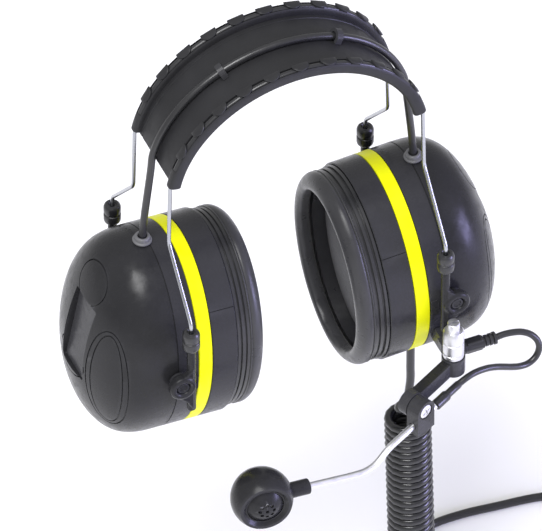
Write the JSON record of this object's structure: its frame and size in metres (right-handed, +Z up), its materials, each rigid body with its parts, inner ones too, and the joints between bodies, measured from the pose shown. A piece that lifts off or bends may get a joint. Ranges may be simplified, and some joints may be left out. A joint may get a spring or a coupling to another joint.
{
  "type": "aviation headset",
  "caption": "Over-ear aviation headset with padded cups on a wire headband, a swinging boom microphone and a curly cord with a plug.",
  "frame": {"origin": "midway between the ear cups, at the height of their pivots", "axes": "+X towards the wearer's left, the boom's side; -Y the way the wearer faces; +Z up"},
  "size_m": [0.2972, 0.1512, 0.4089],
  "materials": {
    "black_shell": "fine moulded grain, satin",
    "yellow_band": "smooth moulded plastic",
    "cushion_vinyl": "soft vinyl with a welded seam",
    "black_foam": "open foam",
    "strap": "moulded flexible strap, satin",
    "spring_wire": "bright drawn spring steel",
    "satin_metal": "satin turned metal",
    "grey_rubber": "matt grommet rubber",
    "black_rubber": "cable jacket, satin",
    "brass": "turned contact"
  },
  "bodies": {
    "root": {"front_spring_wire": "spring_wire", "rear_spring_wire": "spring_wire", "headband_strap": "strap", "front_edge_sleeve": "strap", "rear_edge_sleeve": "strap", "left_cable_clip": "black_shell", "right_cable_clip": "black_shell", "headband_cable": "black_rubber", "cord_drop": "black_rubber", "cord_coil": "black_rubber", "cord_lead": "black_rubber", "cord_plug": "black_rubber", "plug_tip": "brass"},
    "left_yoke": {"left_front_fastener": "black_shell", "left_front_collar": "black_rubber", "left_rear_fastener": "black_shell", "left_rear_collar": "black_rubber"},
    "left_cup": {"left_outer_shell": "black_shell", "left_colour_band": "yellow_band", "left_inner_shell": "black_shell", "left_cushion_ring": "black_shell", "left_ear_cushion": "cushion_vinyl", "left_ear_foam": "black_foam", "left_speaker_plate": "black_shell", "left_speaker": "satin_metal", "left_foam_liner": "black_foam", "left_front_pivot_pin": "black_shell", "left_rear_pivot_pin": "black_shell", "left_cable_grommet": "grey_rubber", "left_name_plate": "black_shell", "boom_bracket": "black_shell", "boom_post": "satin_metal", "mic_plug": "black_rubber", "cord_gland": "black_rubber", "mic_cable": "black_rubber"},
    "right_yoke": {"right_front_fastener": "black_shell", "right_front_collar": "black_rubber", "right_rear_fastener": "black_shell", "right_rear_collar": "black_rubber"},
    "right_cup": {"right_outer_shell": "black_shell", "right_colour_band": "yellow_band", "right_inner_shell": "black_shell", "right_cushion_ring": "black_shell", "right_ear_cushion": "cushion_vinyl", "right_ear_foam": "black_foam", "right_speaker_plate": "black_shell", "right_speaker": "satin_metal", "right_foam_liner": "black_foam", "right_front_pivot_pin": "black_shell", "right_rear_pivot_pin": "black_shell", "right_cable_grommet": "grey_rubber", "right_name_plate": "black_shell"},
    "boom_arm": {"boom_arm": "black_shell"},
    "boom_clamp": {"boom_clamp": "black_shell", "clamp_screw": "satin_metal"},
    "boom": {"boom_tube": "satin_metal", "boom_rear_sleeve": "black_rubber", "mic_housing": "black_shell", "mic_grille": "black_shell", "mic_capsule": "satin_metal"}
  },
  "joints": [
    {"name": "left_cup_height", "type": "slide", "parent": "root", "child": "left_yoke", "axis": [0, 0, -1], "range_m": [0, 0.025], "deforming": ["headband_cable", "cord_drop"]},
    {"name": "left_cup_tilt", "type": "hinge", "parent": "left_yoke", "child": "left_cup", "pos_m": [0.0693, 0, 0], "axis": [0, 1, 0], "range_deg": [-10, 10], "deforming": ["headband_cable", "cord_drop"]},
    {"name": "right_cup_height", "type": "slide", "parent": "root", "child": "right_yoke", "axis": [0, 0, -1], "range_m": [0, 0.025], "deforming": ["headband_cable"]},
    {"name": "right_cup_tilt", "type": "hinge", "parent": "right_yoke", "child": "right_cup", "pos_m": [-0.0693, 0, 0], "axis": [0, 1, 0], "range_deg": [-10, 10], "deforming": ["headband_cable"]},
    {"name": "boom_swing", "type": "hinge", "parent": "left_cup", "child": "boom_arm", "pos_m": [0.0646, -0.055, -0.0258], "axis": [0, 0, 1], "range_deg": [-5, 75], "deforming": ["mic_cable"]},
    {"name": "boom_tilt", "type": "hinge", "parent": "boom_arm", "child": "boom_clamp", "pos_m": [0.03754, -0.06699, -0.03486], "axis": [-0.4051, 0.9143, 0], "range_deg": [0, 75], "deforming": ["mic_cable"]},
    {"name": "boom_slide", "type": "slide", "parent": "boom_clamp", "child": "boom", "axis": [-0.9064, -0.4017, -0.1305], "range_m": [-0.01, 0.004], "deforming": ["mic_cable"]}
  ]
}
